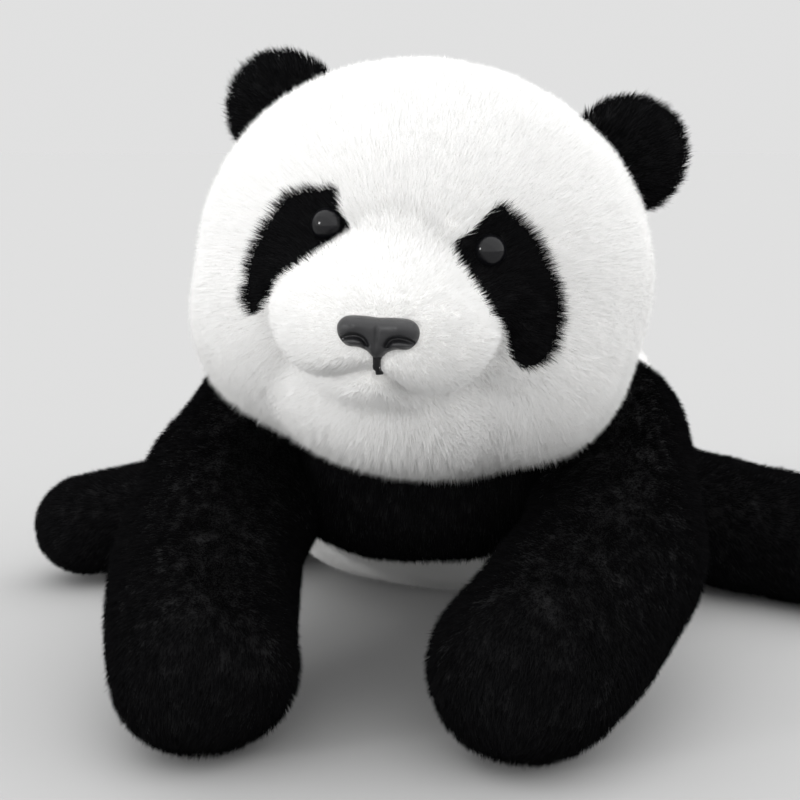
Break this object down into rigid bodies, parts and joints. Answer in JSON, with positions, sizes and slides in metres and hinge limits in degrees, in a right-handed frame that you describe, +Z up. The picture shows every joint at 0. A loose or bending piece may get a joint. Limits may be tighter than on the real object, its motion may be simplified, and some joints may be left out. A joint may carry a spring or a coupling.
{
  "type": "plush panda",
  "caption": "Soft plush panda lying on its belly with its chest propped on the forelegs, hind legs splayed, with a turning head and posable legs, ears and tail.",
  "frame": {"origin": "on the resting surface, under the middle of the whole toy", "axes": "-Y the way the face looks, +X the panda's own left, +Z up"},
  "size_m": [0.578, 0.53, 0.3467],
  "materials": {
    "white_plush": "dense white plush, about 10 mm pile",
    "black_plush": "dense black plush, about 10 mm pile",
    "stuffing": "loose polyester fibre fill",
    "eye_plastic": "polished black plastic",
    "nose_plastic": "satin moulded dark grey plastic",
    "washer_plastic": "white locking washer",
    "black_thread": "embroidery thread"
  },
  "bodies": {
    "torso": {"torso_cover": "white_plush", "shoulder_band": "black_plush", "torso_stuffing": "stuffing"},
    "neck": {"neck_cover": "black_plush", "neck_stuffing": "stuffing"},
    "head": {"head_cover": "white_plush", "muzzle_cover": "white_plush", "chin_panel": "white_plush", "head_stuffing": "stuffing", "nose": "nose_plastic", "nose_washer": "washer_plastic", "mouth_stitch": "black_thread", "eye_patch_left": "black_plush", "eye_patch_right": "black_plush", "eye_left": "eye_plastic", "eye_right": "eye_plastic", "eye_washer_left": "washer_plastic", "eye_washer_right": "washer_plastic"},
    "ear_left": {"ear_cover_left": "black_plush", "ear_stuffing_left": "stuffing"},
    "foreleg_left": {"foreleg_cover_left": "black_plush", "foreleg_stuffing_left": "stuffing"},
    "hindleg_left": {"hindleg_cover_left": "black_plush", "hindleg_stuffing_left": "stuffing"},
    "ear_right": {"ear_cover_right": "black_plush", "ear_stuffing_right": "stuffing"},
    "foreleg_right": {"foreleg_cover_right": "black_plush", "foreleg_stuffing_right": "stuffing"},
    "hindleg_right": {"hindleg_cover_right": "black_plush", "hindleg_stuffing_right": "stuffing"},
    "tail": {"tail_cover": "white_plush", "tail_stuffing": "stuffing"}
  },
  "joints": [
    {"name": "head_nod", "type": "hinge", "parent": "torso", "child": "neck", "pos_m": [0, -0.0706, 0.1728], "axis": [1, 0, 0], "range_deg": [-14, 12], "stiffness_Nm_per_rad": 8},
    {"name": "head_turn", "type": "hinge", "parent": "neck", "child": "head", "pos_m": [0, -0.0706, 0.1728], "axis": [0, -0.6, 0.8], "range_deg": [-30, 30], "stiffness_Nm_per_rad": 6},
    {"name": "ear_left_fold", "type": "hinge", "parent": "head", "child": "ear_left", "pos_m": [0.10064, -0.091, 0.28976], "axis": [0.5948, 0, -0.8039], "range_deg": [-18, 18], "stiffness_Nm_per_rad": 0.15},
    {"name": "ear_right_fold", "type": "hinge", "parent": "head", "child": "ear_right", "pos_m": [-0.07936, -0.091, 0.31666], "axis": [0.8039, 0, 0.5948], "range_deg": [-18, 18], "stiffness_Nm_per_rad": 0.15},
    {"name": "foreleg_left_spread", "type": "hinge", "parent": "torso", "child": "foreleg_left", "pos_m": [0.096, -0.038, 0.114], "axis": [0, 0, 1], "range_deg": [-5, 40], "stiffness_Nm_per_rad": 4},
    {"name": "foreleg_right_spread", "type": "hinge", "parent": "torso", "child": "foreleg_right", "pos_m": [-0.103, -0.038, 0.114], "axis": [0, 0, 1], "range_deg": [-40, 5], "stiffness_Nm_per_rad": 4},
    {"name": "hindleg_left_swing", "type": "hinge", "parent": "torso", "child": "hindleg_left", "pos_m": [0.15, 0.115, 0.048], "axis": [0, 0, 1], "range_deg": [-8, 40], "stiffness_Nm_per_rad": 4},
    {"name": "hindleg_right_swing", "type": "hinge", "parent": "torso", "child": "hindleg_right", "pos_m": [-0.15, 0.115, 0.048], "axis": [0, 0, 1], "range_deg": [-40, 8], "stiffness_Nm_per_rad": 4},
    {"name": "tail_lift", "type": "hinge", "parent": "torso", "child": "tail", "pos_m": [0, 0.224, 0.062], "axis": [1, 0, 0], "range_deg": [-10, 8], "stiffness_Nm_per_rad": 0.3}
  ]
}
